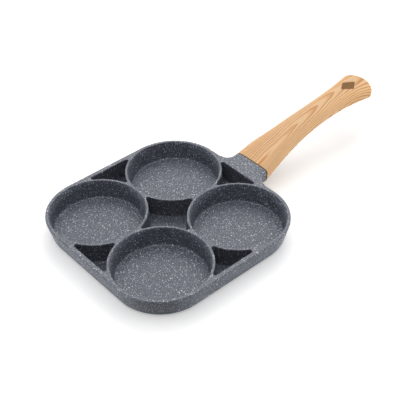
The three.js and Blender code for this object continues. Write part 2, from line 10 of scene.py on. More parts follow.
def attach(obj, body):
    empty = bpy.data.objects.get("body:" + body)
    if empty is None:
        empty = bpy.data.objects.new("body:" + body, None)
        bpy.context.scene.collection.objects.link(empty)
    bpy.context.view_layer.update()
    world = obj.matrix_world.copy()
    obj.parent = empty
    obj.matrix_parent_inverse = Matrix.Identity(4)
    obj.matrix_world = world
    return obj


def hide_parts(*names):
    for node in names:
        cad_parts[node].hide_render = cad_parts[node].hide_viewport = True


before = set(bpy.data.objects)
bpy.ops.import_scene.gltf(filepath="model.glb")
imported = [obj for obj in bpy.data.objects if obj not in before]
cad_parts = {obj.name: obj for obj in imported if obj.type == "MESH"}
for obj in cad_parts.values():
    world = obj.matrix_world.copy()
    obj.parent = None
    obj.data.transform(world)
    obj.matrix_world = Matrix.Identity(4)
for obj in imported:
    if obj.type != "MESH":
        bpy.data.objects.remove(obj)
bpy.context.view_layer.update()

# Sizes of the part in millimetres and degrees. The base rests on z = 0 and the handle points along +X.

# Cups, on the floor that they share with the pockets
CUP_RADIUS = 45.3
CUP_WEB = 1.8
CUP_DEPTH = 19
CUP_DRAFT = 9
CUP_FILLET = 2
EDGE_ROUND = 0.6
FLOOR_THICKNESS = 4.5
CUP_CENTRE = CUP_RADIUS + CUP_WEB / 2
RIM_HEIGHT = FLOOR_THICKNESS + CUP_DEPTH

# Outer wall. The rim's width is from a cup to the outer edge
RIM_WIDTH_SIDE = 3.6
RIM_WIDTH_CORNER = 3
RIM_ROUND = 1
OUTER_HALF = CUP_CENTRE + CUP_RADIUS + RIM_WIDTH_SIDE
OUTER_DRAFT = 13
BASE_ROUND = 8

# Star and triangle pockets, between the rings of wall around the cups and the wall at each side
RING_WALL = 2
SIDE_WALL = 4.5
RING_RADIUS = CUP_RADIUS + RING_WALL
POCKET_EDGE = OUTER_HALF - SIDE_WALL
POCKET_DRAFT = 4
POCKET_CORNER = 0.2
POCKET_FILLET = 0.6

# Turned grooves in the base
GROOVE_RADII = (25, 40, 55, 70)
GROOVE_WIDTH = 1.6
GROOVE_DEPTH = 0.4

# How far a cutter stands out past the face that it cuts
CUT_MARGIN = 3

# Lug, which starts a little inside the pocket's edge with a rounder top, and the joint face at its end
LUG_REACH = 12.7
LUG_ROOT_DEPTH = 2.2
LUG_OVERLAP = 0.3
LUG_FACE = OUTER_HALF + LUG_REACH
LUG_ROOT = OUTER_HALF - LUG_ROOT_DEPTH
LUG_START = POCKET_EDGE - LUG_OVERLAP
LUG_START_POWER = 1.8
NECK_FILLET = 10
# The joint face's section: sizes from the rim's height, and powers that say how square its two halves are
JOINT = {"half_width": 20.9, "height": 0, "crown": 4.2, "belly": 15, "top_power": 4.5, "belly_power": 3.2}
JOINT_THICKNESS = JOINT["crown"] + JOINT["belly"]

# Tang, its socket in the handle, and the gasket around it
TANG_ANGLE = 20
TANG_DROP = 3.4
TANG_ROOT = 7
TANG_LENGTH = 32
TANG_HALF_WIDTH = 10
TANG_HALF_THICKNESS = 3.25
TANG_CORNER = 1.5
SOCKET_GAP = 0.3
SOCKET_END_GAP = 1
GASKET_THICKNESS = 0.8
GASKET_INSET = 0.4
GASKET_GAP = 0.25

# Handle, from the gasket to the corners of its end
HANDLE_FACE = LUG_FACE + GASKET_THICKNESS + 2 * GASKET_GAP
HANDLE_LENGTH = 151
HANDLE_RISE = 24.4
HANDLE_STATIONS = (0, 0.12, 0.26, 0.43, 0.6, 0.79, 0.94, 1)
# Sizes at the stations, as shares of the joint's half width, the rise and the joint's thickness
HANDLE_SHARES = {
    "half_width": (1, 0.905, 0.74, 0.626, 0.578, 0.631, 0.806, 0.9),
    "height": (0, 0.234, 0.447, 0.676, 0.844, 0.96, 1, 1),
    "crown": (0.219, 0.312, 0.39, 0.432, 0.432, 0.415, 0.39, 0.38),
    "belly": (0.781, 0.677, 0.63, 0.6, 0.59, 0.57, 0.55, 0.545),
    "top_power": (4.5, 4, 3.4, 3, 2.8, 2.8, 2.8, 2.8),
    "belly_power": (3.2, 3, 2.9, 2.8, 2.8, 2.8, 2.8, 2.8),
}
HANDLE_UNITS = {
    "half_width": JOINT["half_width"],
    "height": HANDLE_RISE,
    "crown": JOINT_THICKNESS,
    "belly": JOINT_THICKNESS,
    "top_power": 1,
    "belly_power": 1,
}
# Its end: corners in plan and how far they turn, the round of its edge, and the length that bends outwards
END_CORNER = 6
END_TURN = 56
END_ROUND = 4
BULGE_LENGTH = 30

# Diamond hanging hole with a rounded lip, past which its cutter flares a little
HOLE_FROM_CORNERS = 14.1
HOLE_CENTRE = HANDLE_FACE + HANDLE_LENGTH - HOLE_FROM_CORNERS
HOLE_HALF_LENGTH = 11
HOLE_HALF_WIDTH = 7.8
HOLE_CORNER = 1.2
HOLE_LIP = 0.7
HOLE_FLARE = 0.05

# Screw and washers, stacked below their seat in the handle. Heights are measured from the tang's middle
SCREW_SHARE = 0.44
SCREW_ALONG = SCREW_SHARE * TANG_LENGTH
SCREW_RADIUS = 2.4
SCREW_GAP = 0.4
SCREW_HOLE = SCREW_RADIUS + SCREW_GAP
SCREW_TIP_INSET = 0.8
LAND_THICKNESS = 1.8
SEAT = -(TANG_HALF_THICKNESS + SOCKET_GAP + LAND_THICKNESS)
STACK_GAP = 0.25
EDGE_BREAK = 0.12
WASHER_RADIUS = 5
WASHER_THICKNESS = 0.8
WASHER_TOP = SEAT - STACK_GAP
LOCK_RADIUS = 4.3
LOCK_THICKNESS = 1
LOCK_SPLIT = 0.9
LOCK_SPLIT_ANGLE = 25
LOCK_TOP = WASHER_TOP - WASHER_THICKNESS - STACK_GAP
HEAD_RADIUS = 4.2
HEAD_HEIGHT = 2.4
HEAD_DOME = 1.7
HEAD_TOP = LOCK_TOP - LOCK_THICKNESS - STACK_GAP
RECESS_LENGTH = 4.6
RECESS_WIDTH = 1
RECESS_DEPTH = 1.4
COUNTERBORE_GAP = 0.6
COUNTERBORE_RADIUS = WASHER_RADIUS + COUNTERBORE_GAP

# Coating of the casting. All colours are linear red, green and blue, and a roughness is a range
GRAIN_SIZE = 0.5
GRAIN_DARK = (0.045, 0.053, 0.071)
GRAIN_PALE = (0.168, 0.184, 0.222)
# Paler rim: a painted highlight of the light catching the rounded rim edges, with a little wear of the
# coating
RIM_HIGHLIGHT_AND_WEAR = 0.2
RIM_LIT_AND_WORN_COLOUR = (0.27, 0.28, 0.3)
# Painted shade in the star and triangle pockets: how far their colour goes towards the dark colour below
PAINTED_POCKET_SHADE = 0.3
PAINTED_POCKET_SHADE_COLOUR = (0.02, 0.022, 0.028)
COATING_ROUGHNESS = (0.38, 0.52)
COATING_RELIEF = 0.06
COATING_GLOSS = 0.35
# Its light specks, from fine to coarse: the size of the cells, the share of them that hold a speck,
# the largest radius of a speck, and the colour
SPECKS = (
    (0.8, 0.5, 0.34, (0.44, 0.475, 0.535)),
    (1.3, 0.55, 0.47, (0.87, 0.9, 0.94)),
    (2.6, 0.4, 0.65, (0.95, 0.97, 0.98)),
)

# Wood print of the handle. The pith crosses from the joint's right to the end's left and gets deeper
WOOD_DEEP = (0.7, 0.44, 0.23)
WOOD_PALE = (0.83, 0.545, 0.31)
WOOD_RIPE = (0.62, 0.28, 0.085)
WOOD_LINE = (0.38, 0.145, 0.035)
WOOD_BARE = (0.74, 0.52, 0.31)
WOOD_ROUGHNESS = (0.48, 0.58)
WOOD_RELIEF = 0.05
WOOD_GLOSS = 0.25
PITH_START = 11
PITH_CROSSING = 18.5
PITH_SWAY = 3
PITH_DEPTH = 10.4
PITH_DEEPENING = 12.3
RINGS_PER_MM = 0.4
FIRST_RING = -0.32
SIDE_STRETCH = 0.05
RIGHT_CROWDING = 1.6
LEFT_CROWDING = 1.58
END_SPREAD = 0.69
GRAIN_CROWN = 8
GRAIN_MARGIN = 10
GRAIN_TOP = RIM_HEIGHT + HANDLE_RISE + GRAIN_CROWN
GRAIN_END = HANDLE_FACE + HANDLE_LENGTH + GRAIN_MARGIN

# Finishes of the gasket and the fasteners
GASKET_COLOURS = ((0.045, 0.037, 0.03), (0.085, 0.07, 0.056))
GASKET_ROUGHNESS = (0.7, 0.8)
GASKET_RELIEF = 0.05
STEEL_COLOURS = ((0.5, 0.51, 0.53), (0.66, 0.67, 0.69))
STEEL_ROUGHNESS = (0.28, 0.42)
STEEL_RELIEF = 0.02

# Floor and world. The floor sends back less light than it shows, and its glow grows with the distance
FLOOR_HALF = 40000
FLOOR_COLOURS = ((0.9, 0.9, 0.9), (0.91, 0.91, 0.91))
FLOOR_BOUNCE = (0.41, 0.41, 0.41)
FLOOR_GLOW = 0.35
GLOW_NEAR = 400
GLOW_FAR = 800
WORLD_LIGHT = 0.04

# Camera solved from the photograph, in millimetres, degrees and pixels of a 400 pixel frame
CAMERA_AZIMUTH = -40.869
CAMERA_ELEVATION = 39.942
CAMERA_ROLL = -0.973
CAMERA_DISTANCE = 833.37
CAMERA_FOCAL = 901.93
CAMERA_SHIFT = (-32.482, 12.789)
FRAME_PIXELS = 400
SENSOR_WIDTH = 36

# One millimetre in the scene's metres
MM = 0.001


def arc(centre, radius, start, end, segments):
    """Points of an arc in the plane, both ends included."""
    angles = np.radians(np.linspace(start, end, segments + 1))
    return np.column_stack((centre[0] + radius * np.cos(angles), centre[1] + radius * np.sin(angles)))


def heading(start, end):
    """Angle in degrees of the direction from one point to another."""
    return math.degrees(math.atan2(end[1] - start[1], end[0] - start[0]))


def at_height(points, z):
    """Plane points as a ring at one height."""
    return np.column_stack((points, np.full(len(points), z)))


def mirror_places(x, y):
    """A point of the plane and its three mirror places about the origin, in turning order."""
    return ((x, y), (-x, y), (-x, -y), (x, -y))


def circle(radius, z, segments):
    """Ring about the Z axis at one height."""
    return at_height(arc((0, 0), radius, 0, 360, segments)[:-1], z)


def rounded_rectangle(x, y, radius, segments):
    """Rectangle about the origin with round corners, whose centres lie at x, y and its mirror places."""
    corners = enumerate(mirror_places(x, y))
    return np.vstack([arc(centre, radius, 90 * i, 90 * i + 90, segments) for i, centre in corners])


def loft(rings, end="cap"):
    """Skins rings of equal size, and ends with a cap, a zip across the last ring or a loop to the first."""
    count = len(rings[0])
    total = len(rings)
    faces = []
    for ring in range(total if end == "loop" else total - 1):
        low = ring * count
        high = (ring + 1) % total * count
        for i in range(count):
            j = (i + 1) % count
            faces.append((low + i, low + j, high + j, high + i))
    last = (total - 1) * count
    if end != "loop":
        faces.append(tuple(reversed(range(count))))
    if end == "cap":
        faces.append(tuple(range(last, last + count)))
    if end == "zip":
        half = count // 2
        faces.append((last, last + 1, last + count - 1))
        for i in range(1, half - 1):
            faces.append((last + i, last + i + 1, last + count - i - 1, last + count - i))
        faces.append((last + half - 1, last + half, last + half + 1))
    return np.vstack(rings), faces


def moved(shape, matrix):
    """A shape with a matrix applied to its points."""
    points, faces = shape
    turn = np.array(matrix.to_3x3())
    return points @ turn.T + np.array(matrix.translation), faces


def joined(shapes):
    """Several separate shapes as one."""
    points = []
    faces = []
    for shape_points, shape_faces in shapes:
        start = sum(len(p) for p in points)
        points.append(shape_points)
        faces += [tuple(start + i for i in face) for face in shape_faces]
    return np.vstack(points), faces


def make(name, shape):
    """A mesh object from a shape in millimetres."""
    points, faces = shape
    mesh = bpy.data.meshes.new(name)
    mesh.from_pydata((points * MM).tolist(), [], faces)
    piece = bpy.data.objects.new(name, mesh)
    bpy.context.scene.collection.objects.link(piece)
    return piece


def combine(piece, shape, operation):
    """Joins a shape to a piece or cuts it away."""
    tool = make("tool", shape)
    modifier = piece.modifiers.new("combine", "BOOLEAN")
    modifier.operation = operation
    modifier.solver = "MANIFOLD"
    modifier.object = tool
    graph = bpy.context.evaluated_depsgraph_get()
    mesh = bpy.data.meshes.new_from_object(piece.evaluated_get(graph))
    piece.modifiers.clear()
    old = piece.data
    piece.data = mesh
    bpy.data.meshes.remove(old)
    tool_mesh = tool.data
    bpy.data.objects.remove(tool)
    bpy.data.meshes.remove(tool_mesh)


def smooth(piece, sharp_angle):
    """Smooth shading that keeps edges over an angle sharp and large faces flat."""
    piece.data.shade_smooth()
    piece.data.set_sharp_from_angle(angle=math.radians(sharp_angle))
    normals = piece.modifiers.new("normals", "WEIGHTED_NORMAL")
    normals.keep_sharp = True
    normals.weight = 80


def outline(offset, segments=28):
    """The rounded square of the pan seen from above, moved outwards by an offset."""
    diagonal = CUP_CENTRE * math.sqrt(2) + CUP_RADIUS + RIM_WIDTH_CORNER
    corner = (OUTER_HALF * math.sqrt(2) - diagonal) / (math.sqrt(2) - 1)
    centre = OUTER_HALF - corner
    return rounded_rectangle(centre, centre, corner + offset, segments)


def outer_form():
    """Rounded rim edge, wall that leans in, and a large round into the flat base."""
    draft = math.radians(OUTER_DRAFT)
    wall = RIM_ROUND - math.cos(draft) * RIM_ROUND - math.sin(draft) * (RIM_HEIGHT - RIM_ROUND)
    base_centre = (wall - BASE_ROUND + BASE_ROUND * math.sin(draft)) / math.cos(draft)
    base = arc((base_centre, BASE_ROUND), BASE_ROUND, -90, -OUTER_DRAFT, segments=12)
    rim = arc((-RIM_ROUND, RIM_HEIGHT - RIM_ROUND), RIM_ROUND, -OUTER_DRAFT, 90, segments=8)
    return loft([at_height(outline(offset), z) for offset, z in np.vstack((base, rim))])


def cup_cutter(x, y, segments=144):
    """Flat floor, floor fillet, drafted wall and rounded rim edge of one cup."""
    draft = math.radians(CUP_DRAFT)
    wall = CUP_RADIUS - (CUP_DEPTH - CUP_FILLET) * math.tan(draft)
    fillet_centre = (wall - CUP_FILLET / math.cos(draft), FLOOR_THICKNESS + CUP_FILLET)
    edge_x = CUP_RADIUS - EDGE_ROUND * math.tan(draft) + EDGE_ROUND / math.cos(draft)
    fillet = arc(fillet_centre, CUP_FILLET, -90, -CUP_DRAFT, segments=10)
    edge = arc((edge_x, RIM_HEIGHT - EDGE_ROUND), EDGE_ROUND, 180 - CUP_DRAFT, 90, segments=6)
    profile = np.vstack((fillet, edge, [(edge_x, RIM_HEIGHT + CUT_MARGIN)]))
    rings = [circle(radius, z, segments) + (x, y, 0) for radius, z in profile]
    return loft(rings)


def pocket_levels():
    """Inset and height of each ring of a pocket cutter: floor fillet, drafted wall and rounded rim edge."""
    draft = math.radians(POCKET_DRAFT)
    wall = (CUP_DEPTH - POCKET_FILLET) * math.tan(draft)
    fillet_centre = (-wall - POCKET_FILLET / math.cos(draft), FLOOR_THICKNESS + POCKET_FILLET)
    fillet = arc(fillet_centre, POCKET_FILLET, -90, -POCKET_DRAFT, segments=5)
    edge_x = EDGE_ROUND / math.cos(draft) - EDGE_ROUND * math.tan(draft)
    edge = arc((edge_x, RIM_HEIGHT - EDGE_ROUND), EDGE_ROUND, 180 - POCKET_DRAFT, 90, segments=6)
    levels = np.vstack((fillet, edge, [(edge_x, RIM_HEIGHT + CUT_MARGIN)]))
    return [(-offset, z) for offset, z in levels]


def pocket_corner():
    """Tip radius of a pocket at the rim: the draft and the floor's fillet open it up from the floor."""
    return POCKET_CORNER + POCKET_FILLET + CUP_DEPTH * math.tan(math.radians(POCKET_DRAFT))


def ring_arc(cup, radius, first_tip, second_tip):
    """Arc of a cup's outer ring between the two pocket tips that touch it."""
    start = heading(cup, first_tip)
    sweep = heading(cup, second_tip) - start
    turn = sweep - 360 * round(sweep / 360)
    return arc(cup, radius, start, start + turn, segments=24)[1:-1]


def tip_from_web():
    """From the middle of a web to the centre of the tip circle that touches both of its cups."""
    return math.sqrt((RING_RADIUS + pocket_corner()) ** 2 - CUP_CENTRE**2)


def star_edge(inset):
    """Edge of the star pocket between the four cups."""
    distance = CUP_CENTRE - tip_from_web()
    tips = arc((0, 0), distance, 0, 270, segments=3)
    cups = mirror_places(CUP_CENTRE, CUP_CENTRE)
    stretches = []
    half = heading(tips[0], cups[0])
    for i, tip in enumerate(tips):
        stretches.append(arc(tip, pocket_corner() - inset, 90 * i - half, 90 * i + half, segments=6))
        stretches.append(ring_arc(cups[i], RING_RADIUS + inset, tip, tips[(i + 1) % 4]))
    return np.vstack(stretches)


def triangle_edge(inset):
    """Edge of the triangular pocket at the handle side."""
    reach = RING_RADIUS + pocket_corner()
    inner = (CUP_CENTRE + tip_from_web(), 0)
    outer_x = POCKET_EDGE - pocket_corner()
    outer_y = CUP_CENTRE - math.sqrt(reach**2 - (outer_x - CUP_CENTRE) ** 2)
    upper = (outer_x, outer_y)
    lower = (outer_x, -outer_y)
    left_cup = (CUP_CENTRE, CUP_CENTRE)
    right_cup = (CUP_CENTRE, -CUP_CENTRE)
    radius = pocket_corner() - inset
    towards = heading(upper, left_cup)
    inner_start = heading(inner, left_cup)
    return np.vstack(
        (
            arc(upper, radius, 0, towards, segments=6),
            ring_arc(left_cup, RING_RADIUS + inset, upper, inner),
            arc(inner, radius, inner_start, 360 - inner_start, segments=6),
            ring_arc(right_cup, RING_RADIUS + inset, inner, lower),
            arc(lower, radius, -towards, 0, segments=6),
        )
    )


def pocket_cutter(edge):
    """Cutter of a pocket, from its edge at the inset of each level."""
    return loft([at_height(edge(inset), z) for inset, z in pocket_levels()])


def groove_cutter(radius, segments=144):
    """One shallow turned groove in the base."""
    half = GROOVE_WIDTH / 2
    profile = [(radius - half, -CUT_MARGIN), (radius + half, -CUT_MARGIN), (radius + half, 0)]
    profile += [(radius + half / 2, GROOVE_DEPTH), (radius - half / 2, GROOVE_DEPTH), (radius - half, 0)]
    return loft([circle(r, z, segments) for r, z in profile], end="loop")


def half_section(half_width, reach, power, points, samples=721):
    """Evenly spaced points of half a superellipse, from its right end over to its left one."""
    t = np.linspace(0, math.pi, samples)
    across = half_width * np.sign(np.cos(t)) * np.abs(np.cos(t)) ** (2 / power)
    above = reach * np.abs(np.sin(t)) ** (2 / power)
    length = np.concatenate(([0], np.cumsum(np.hypot(np.diff(across), np.diff(above)))))
    steps = np.linspace(0, length[-1], points + 1)
    return np.column_stack((np.interp(steps, length, across), np.interp(steps, length, above)))[:-1]


def section_ring(section, shift, points=128):
    """Ring of a flat-topped section with a rounder belly. shift gives each point's place along X."""
    top = half_section(section["half_width"], section["crown"], section["top_power"], points // 2)
    belly = -half_section(section["half_width"], section["belly"], section["belly_power"], points // 2)
    across, above = np.vstack((top, belly)).T
    above = above + section["height"]
    return np.column_stack((shift(across, above), across, RIM_HEIGHT + above))


def lug_form():
    """Lug whose sides flare in plan into the pan's wall and whose top ramps up from the pocket's edge."""
    flare_width = JOINT["half_width"] + NECK_FILLET
    flare = arc((OUTER_HALF + NECK_FILLET, flare_width), NECK_FILLET, 180, 270, segments=16)
    stations = np.vstack(([(LUG_START, flare_width)], flare, [(LUG_FACE, JOINT["half_width"])]))
    rings = []
    for x, half_width in stations:
        crown = JOINT["crown"] * (x - POCKET_EDGE) / (LUG_FACE - POCKET_EDGE)
        lean = math.tan(math.radians(OUTER_DRAFT)) * (LUG_FACE - x) / (LUG_FACE - LUG_ROOT)
        flatness = np.interp(x, (LUG_START, LUG_FACE), (LUG_START_POWER, JOINT["top_power"]))
        section = {**JOINT, "half_width": half_width, "crown": crown, "top_power": flatness}
        rings.append(section_ring(section, lambda across, above: x + lean * np.minimum(above, 0)))
    return loft(rings)


def tang_matrix():
    """Places a shape that is drawn along the tang, from the joint face."""
    place = Matrix.Translation((LUG_FACE, 0, RIM_HEIGHT - TANG_DROP))
    return place @ Matrix.Rotation(-math.radians(TANG_ANGLE), 4, "Y")


def tang_bar(start, end, gap):
    """Bar with round corners along the tang, grown all round by a gap."""
    radius = TANG_CORNER + gap
    y = TANG_HALF_WIDTH + gap - radius
    z = TANG_HALF_THICKNESS + gap - radius
    corners = rounded_rectangle(y, z, radius, segments=6)
    rings = [np.column_stack((np.full(len(corners), x), corners)) for x in (start, end)]
    return moved(loft(rings), tang_matrix())


def screw_bar(radius, low, high, segments=64):
    """Round bar square to the tang, where the screw runs, with no corner on the handle's middle plane."""
    half_step = 180 / segments
    ring = arc((SCREW_ALONG, 0), radius, half_step, 360 + half_step, segments)[:-1]
    rings = [at_height(ring, z) for z in (low, high)]
    return moved(loft(rings), tang_matrix())


def pan_body():
    """Casting of outer form, lug and tang, with cups, pockets, grooves and the screw's hole cut away."""
    piece = make("egg_pan_casting", outer_form())
    combine(piece, lug_form(), "UNION")
    combine(piece, tang_bar(-TANG_ROOT, TANG_LENGTH, 0), "UNION")
    cups = [cup_cutter(x, y) for x in (-CUP_CENTRE, CUP_CENTRE) for y in (-CUP_CENTRE, CUP_CENTRE)]
    sides = [moved(pocket_cutter(triangle_edge), Matrix.Rotation(math.pi / 2 * i, 4, "Z")) for i in range(4)]
    grooves = [groove_cutter(radius) for radius in GROOVE_RADII]
    combine(piece, joined([*cups, pocket_cutter(star_edge), *sides, *grooves]), "DIFFERENCE")
    through = TANG_HALF_THICKNESS + CUT_MARGIN
    combine(piece, screw_bar(SCREW_HOLE, -through, through), "DIFFERENCE")
    smooth(piece, sharp_angle=35)
    return piece


def neck_gasket():
    """Flat gasket, a little smaller than the joint face, with a window for the tang."""
    section = dict(JOINT)
    for size in ("half_width", "crown", "belly"):
        section[size] -= GASKET_INSET
    back = LUG_FACE + GASKET_GAP
    faces = (back, back + GASKET_THICKNESS)
    rings = [section_ring(section, lambda across, above: np.full_like(across, x)) for x in faces]
    piece = make("joint_gasket", loft(rings))
    combine(piece, tang_bar(-TANG_ROOT, TANG_LENGTH, SOCKET_GAP), "DIFFERENCE")
    smooth(piece, sharp_angle=35)
    return piece


def handle_size(name, fraction):
    """One size of the handle's sections on a smooth curve through its stations."""
    at = np.array(HANDLE_STATIONS)
    values = HANDLE_UNITS[name] * np.array(HANDLE_SHARES[name])
    following = int(np.clip(np.searchsorted(at, fraction), 1, len(at) - 1))

    def slope(i):
        low = max(i - 1, 0)
        high = min(i + 1, len(at) - 1)
        return (values[high] - values[low]) / (at[high] - at[low])

    span = at[following] - at[following - 1]
    t = (fraction - at[following - 1]) / span
    rise = values[following] - values[following - 1]
    leave = t * (1 - t) ** 2 * span * slope(following - 1)
    arrive = t**2 * (1 - t) * span * slope(following)
    return values[following - 1] + rise * t * t * (3 - 2 * t) + leave - arrive


def handle_section(fraction):
    """All sizes of the handle's section at a fraction of its length."""
    return {name: handle_size(name, fraction) for name in HANDLE_SHARES}


def end_bulge():
    """How far the middle of the handle's end stands out past its corners."""
    turn = math.radians(END_TURN)
    face_half_width = handle_size("half_width", 1) - END_CORNER * (1 - math.cos(turn))
    return END_CORNER * math.sin(turn) + face_half_width / (2 * math.tan(turn)) - END_ROUND


def bend_at(fraction):
    """How far the middle of a section stands out past its sides."""
    t = np.clip(1 - HANDLE_LENGTH * (1 - fraction) / BULGE_LENGTH, 0, 1)
    return end_bulge() * t * t * (3 - 2 * t)


def bent_ring(section, sides, middle):
    """Section bent in plan, given the places of its sides and its middle along X."""
    half_width = section["half_width"]
    return section_ring(section, lambda across, above: middle + (sides - middle) * (across / half_width) ** 2)


def handle_form(steps=120, end_steps=12):
    """Sections that bend in plan towards the bulged end, then the end's rounded edge."""
    rings = []
    for fraction in np.linspace(0, 1, steps + 1):
        x = HANDLE_FACE + HANDLE_LENGTH * fraction
        rings.append(bent_ring(handle_section(fraction), x, x + bend_at(fraction)))
    corners = HANDLE_FACE + HANDLE_LENGTH
    sides = arc((0, 0), END_CORNER, 0, END_TURN, end_steps)
    edge = arc((0, 0), END_ROUND, 0, 90, end_steps)
    for (side_x, side_y), (edge_x, edge_y) in zip(sides[1:], edge[1:]):
        section = handle_section(1)
        section["half_width"] -= END_CORNER - side_x
        section["crown"] -= END_ROUND - edge_x
        section["belly"] -= END_ROUND - edge_x
        rings.append(bent_ring(section, corners + side_y, corners + end_bulge() + edge_y))
    return loft(rings, end="zip")


def handle_surface(x, y, side, steps=12):
    """Height of the handle's top (side 1) or belly (side -1) over a point, above the base."""
    fraction = (x - HANDLE_FACE) / HANDLE_LENGTH
    # The bend depends on the place along the handle and moves it, so the place is found step by step
    for _ in range(steps):
        half_width = handle_size("half_width", fraction)
        bent = bend_at(fraction) * (1 - (y / half_width) ** 2)
        fraction = (x - bent - HANDLE_FACE) / HANDLE_LENGTH
    section = handle_section(fraction)
    reach, power = ("crown", "top_power") if side > 0 else ("belly", "belly_power")
    fullness = (1 - abs(y / section["half_width"]) ** section[power]) ** (1 / section[power])
    rise = section[reach] * fullness
    return RIM_HEIGHT + section["height"] + side * rise


def diamond(offset, segments=10, side_steps=8):
    """The hanging hole's outline with round corners, moved outwards by an offset."""
    slope = math.degrees(math.atan2(HOLE_HALF_WIDTH, HOLE_HALF_LENGTH))
    inner_length = HOLE_HALF_LENGTH - HOLE_CORNER / math.sin(math.radians(slope))
    inner_width = HOLE_HALF_WIDTH - HOLE_CORNER / math.cos(math.radians(slope))
    centres = ((inner_length, 0), (0, inner_width), (-inner_length, 0), (0, -inner_width))
    turns = (
        (slope - 90, 90 - slope),
        (90 - slope, 90 + slope),
        (90 + slope, 270 - slope),
        (270 - slope, 270 + slope),
    )
    radius = HOLE_CORNER + offset
    corners = [arc(centre, radius, *turn, segments) for centre, turn in zip(centres, turns)]
    between = np.linspace(0, 1, side_steps + 1)[1:-1, None]
    stretches = []
    for corner, following in zip(corners, corners[1:] + corners[:1]):
        stretches.append(corner)
        stretches.append(corner[-1] + (following[0] - corner[-1]) * between)
    return np.vstack(stretches) + (HOLE_CENTRE, 0)


def hole_cutter():
    """Through hole whose lips follow the handle's top and belly and round over into them."""
    rings = []
    lip = arc((HOLE_LIP, 0), HOLE_LIP, 180, 90, segments=6)
    past_surface = (HOLE_LIP + HOLE_FLARE, -CUT_MARGIN)
    for side in (-1, 1):
        levels = [*((offset, HOLE_LIP - rise) for offset, rise in lip), past_surface]
        if side < 0:
            levels.reverse()
        for offset, drop in levels:
            points = diamond(offset)
            z = [handle_surface(x, y, side) - side * drop for x, y in points]
            rings.append(np.column_stack((points, z)))
    return loft(rings)


def handle():
    """Moulded handle with the tang's socket, the screw's counterbored hole and the hanging hole."""
    piece = make("wood_look_handle", handle_form())
    combine(piece, tang_bar(-TANG_ROOT, TANG_LENGTH + SOCKET_END_GAP, SOCKET_GAP), "DIFFERENCE")
    combine(piece, screw_bar(SCREW_HOLE, SEAT - CUT_MARGIN, 0), "DIFFERENCE")
    combine(piece, screw_bar(COUNTERBORE_RADIUS, SEAT - JOINT_THICKNESS, SEAT), "DIFFERENCE")
    combine(piece, hole_cutter(), "DIFFERENCE")
    smooth(piece, sharp_angle=40)
    return piece


def chamfered_ring(inner, outer, top, thickness, segments=96):
    """Flat ring with broken edges, hanging below a height."""
    low = top - thickness
    profile = [(inner, low + EDGE_BREAK), (inner + EDGE_BREAK, low), (outer - EDGE_BREAK, low)]
    profile += [(outer, low + EDGE_BREAK), (outer, top - EDGE_BREAK), (outer - EDGE_BREAK, top)]
    profile += [(inner + EDGE_BREAK, top), (inner, top - EDGE_BREAK)]
    rings = [circle(radius, z, segments) + (SCREW_ALONG, 0, 0) for radius, z in profile]
    return loft(rings, end="loop")


def flat_washer():
    """Plain washer below the seat."""
    ring = chamfered_ring(SCREW_HOLE, WASHER_RADIUS, WASHER_TOP, WASHER_THICKNESS)
    piece = make("plain_washer", moved(ring, tang_matrix()))
    smooth(piece, sharp_angle=25)
    return piece


def box(length, width, height):
    """A box about the origin."""
    x, y, z = length / 2, width / 2, height / 2
    return loft([at_height(mirror_places(x, y), level) for level in (-z, z)])


def lock_washer():
    """Spring washer with a slanting split."""
    ring = chamfered_ring(SCREW_HOLE, LOCK_RADIUS, LOCK_TOP, LOCK_THICKNESS)
    piece = make("spring_washer", moved(ring, tang_matrix()))
    place = Matrix.Translation((SCREW_ALONG + LOCK_RADIUS, 0, LOCK_TOP - LOCK_THICKNESS / 2))
    slant = Matrix.Rotation(math.radians(LOCK_SPLIT_ANGLE), 4, "X")
    split = moved(box(2 * LOCK_RADIUS, LOCK_SPLIT, 4 * LOCK_THICKNESS), tang_matrix() @ place @ slant)
    combine(piece, split, "DIFFERENCE")
    smooth(piece, sharp_angle=25)
    return piece


def handle_screw(segments=64):
    """Screw with a domed head below, a plain shank and a cross recess."""
    head_low = HEAD_TOP - HEAD_HEIGHT
    turns = np.radians(np.arange(10, 91, 8))
    dome = [(HEAD_RADIUS * math.sin(turn), head_low + HEAD_DOME * (1 - math.cos(turn))) for turn in turns]
    tip = TANG_HALF_THICKNESS - SCREW_TIP_INSET
    profile = [*dome, (HEAD_RADIUS, HEAD_TOP), (SCREW_RADIUS, HEAD_TOP)]
    profile += [(SCREW_RADIUS, tip - SCREW_RADIUS / 2), (SCREW_RADIUS / 2, tip)]
    rings = [circle(radius, z, segments) + (SCREW_ALONG, 0, 0) for radius, z in profile]
    piece = make("pan_head_screw", moved(loft(rings), tang_matrix()))
    for turn in (0, math.pi / 2):
        place = Matrix.Translation((SCREW_ALONG, 0, head_low)) @ Matrix.Rotation(turn, 4, "Z")
        recess = box(RECESS_LENGTH, RECESS_WIDTH, 2 * RECESS_DEPTH)
        combine(piece, moved(recess, tang_matrix() @ place), "DIFFERENCE")
    smooth(piece, sharp_angle=30)
    return piece


